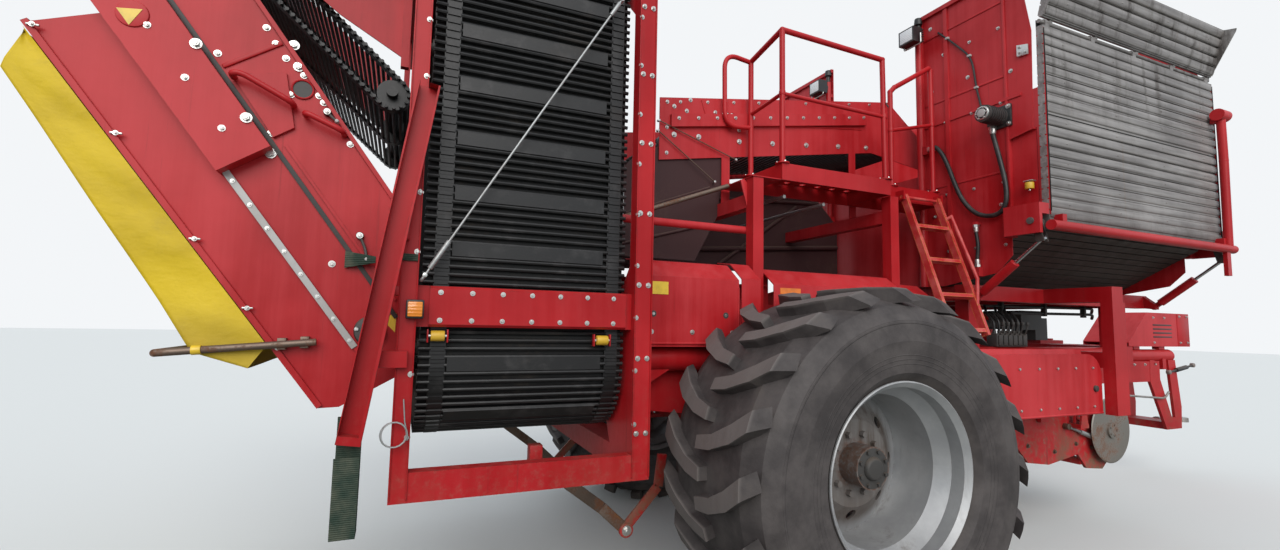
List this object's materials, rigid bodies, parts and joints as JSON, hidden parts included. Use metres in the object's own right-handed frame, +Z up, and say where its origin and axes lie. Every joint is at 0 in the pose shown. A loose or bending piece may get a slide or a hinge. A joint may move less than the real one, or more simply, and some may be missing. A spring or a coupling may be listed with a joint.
{
  "type": "potato harvester",
  "caption": "Towed potato harvester: lifting intake, ring elevator at the rear, picking table with platforms, slatted side-unloading bunker, jack, ladder and steered drawbar.",
  "frame": {"origin": "on the ground, below the middle of the machine's length and width", "axes": "+X forwards towards the hitch ring, +Y to the machine's left, +Z up"},
  "size_m": [9.5691, 3.292, 3.76],
  "materials": {
    "bare_steel": "bright worn",
    "cylinder_black": "satin",
    "cylinder_red": "satin",
    "dark_steel": "dark satin",
    "drawbar_red": "worn gloss",
    "frame_red": "worn gloss",
    "hose_rubber": "satin",
    "ladder_yellow": "red with worn yellow treads",
    "lamp_black": "gloss with clear lens",
    "panel_red": "faded and streaked",
    "rail_red": "worn",
    "rim_grey": "silver paint",
    "slat_grey": "grey powder coat",
    "strap_green": "woven",
    "tarp_yellow": "coated cloth",
    "tyre_black": "dusty matte",
    "web_black": "matte",
    "zinc_rod": "polished"
  },
  "bodies": {
    "main": {"main_frame": "frame_red", "axle_beam": "frame_red", "pto_drive": "dark_steel", "main_web": "web_black", "web_sides": "panel_red", "side_shields": "panel_red", "side_covers": "panel_red", "elevator_frame": "frame_red", "elevator_web": "web_black", "rear_channel": "panel_red", "rear_web": "web_black", "upper_channel": "panel_red", "upper_web": "web_black", "tarp": "tarp_yellow", "picking_table": "panel_red", "table_web": "web_black", "platforms": "frame_red", "railings": "rail_red", "bunker_box": "panel_red", "bunker_floor": "slat_grey", "drive_motors": "dark_steel", "work_lamps": "lamp_black", "side_guard": "frame_red", "rubber_strap": "strap_green", "motor_hose": "hose_rubber", "drop_hose": "hose_rubber"},
    "wheel_right": {"rim_right": "rim_grey", "tyre_right": "tyre_black"},
    "wheel_left": {"rim_left": "rim_grey", "tyre_left": "tyre_black"},
    "drawbar": {"drawbar": "drawbar_red", "hitch_ring": "bare_steel", "front_hood": "panel_red"},
    "jack": {"jack_leg": "bare_steel"},
    "intake": {"intake_frame": "frame_red", "intake_web": "web_black"},
    "coulters": {"coulters": "bare_steel"},
    "ridge_rollers": {"ridge_rollers": "dark_steel"},
    "lift_barrels": {"lift_barrels": "cylinder_black"},
    "lift_rods": {"lift_rods": "zinc_rod"},
    "steer_barrel": {"steer_barrel": "cylinder_black"},
    "steer_rod": {"steer_rod": "zinc_rod"},
    "ladder": {"ladder": "ladder_yellow"},
    "gate": {"bunker_gate": "slat_grey", "gate_pipes": "panel_red"},
    "flap": {"bunker_flap": "slat_grey"},
    "gate_barrels": {"gate_barrels": "cylinder_red"},
    "gate_rods": {"gate_rods": "zinc_rod"}
  },
  "joints": [
    {"name": "wheel_right_spin", "type": "hinge", "parent": "main", "child": "wheel_right", "pos_m": [-1.13545, -1.25, 0.8125], "axis": [0, 1, 0], "continuous": true},
    {"name": "wheel_left_spin", "type": "hinge", "parent": "main", "child": "wheel_left", "pos_m": [-1.13545, 1.25, 0.8125], "axis": [0, 1, 0], "continuous": true},
    {"name": "drawbar_steer", "type": "hinge", "parent": "main", "child": "drawbar", "pos_m": [2.52455, 0, 1.26], "axis": [0, 0, 1], "range_deg": [-20, 20]},
    {"name": "jack_slide", "type": "slide", "parent": "main", "child": "jack", "axis": [0, 0, 1], "range_m": [0, 0.35]},
    {"name": "intake_lift", "type": "hinge", "parent": "main", "child": "intake", "pos_m": [1.21455, 0, 0.83], "axis": [0, 1, 0], "range_deg": [-4, 22]},
    {"name": "coulter_spin", "type": "hinge", "parent": "intake", "child": "coulters", "pos_m": [1.98455, 0, 0.69], "axis": [0, 1, 0], "continuous": true},
    {"name": "roller_spin", "type": "hinge", "parent": "intake", "child": "ridge_rollers", "pos_m": [2.09455, 0, 0.62], "axis": [0, 1, 0], "continuous": true},
    {"name": "lift_barrel_pivot", "type": "hinge", "parent": "main", "child": "lift_barrels", "pos_m": [1.46455, 0, 1.15], "axis": [0, 1, 0], "range_deg": [-1.7, 9.28]},
    {"name": "lift_rod_slide", "type": "slide", "parent": "lift_barrels", "child": "lift_rods", "axis": [0.3243, 0, -0.9459], "range_m": [-0.02255, 0.12399]},
    {"name": "steer_barrel_pivot", "type": "hinge", "parent": "main", "child": "steer_barrel", "pos_m": [2.35455, -0.45, 1.215], "axis": [0, 0, 1], "range_deg": [-10.56, 10.56]},
    {"name": "steer_rod_slide", "type": "slide", "parent": "steer_barrel", "child": "steer_rod", "axis": [0.9741, 0.2261, 0], "range_m": [-0.13915, 0.13915]},
    {"name": "ladder_fold", "type": "hinge", "parent": "main", "child": "ladder", "pos_m": [0.07155, -0.69, 2.31], "axis": [-1, 0, 0], "range_deg": [0, 100]},
    {"name": "gate_tilt", "type": "hinge", "parent": "main", "child": "gate", "pos_m": [1.36455, -1.27, 2.09], "axis": [1, 0, 0], "range_deg": [0, 80]},
    {"name": "flap_fold", "type": "hinge", "parent": "gate", "child": "flap", "pos_m": [1.36455, -1.3, 3.332], "axis": [1, 0, 0], "range_deg": [-14, 60]},
    {"name": "gate_barrel_pivot", "type": "hinge", "parent": "main", "child": "gate_barrels", "pos_m": [1.36455, -0.88, 1.65], "axis": [1, 0, 0], "range_deg": [-13.7, 0]},
    {"name": "gate_rod_slide", "type": "slide", "parent": "gate_barrels", "child": "gate_rods", "axis": [0, -0.7818, 0.6236], "range_m": [-0.06675, 0]}
  ],
  "couplings": [
    {"joint": "lift_barrel_pivot", "follows": "intake_lift", "ratio": 0.421},
    {"joint": "lift_rod_slide", "follows": "intake_lift", "m_per_rad": 0.3229},
    {"joint": "steer_barrel_pivot", "follows": "drawbar_steer", "ratio": 0.527},
    {"joint": "steer_rod_slide", "follows": "drawbar_steer", "m_per_rad": 0.3986},
    {"joint": "gate_barrel_pivot", "follows": "gate_tilt", "ratio": -0.171},
    {"joint": "gate_rod_slide", "follows": "gate_tilt", "m_per_rad": -0.0478}
  ]
}
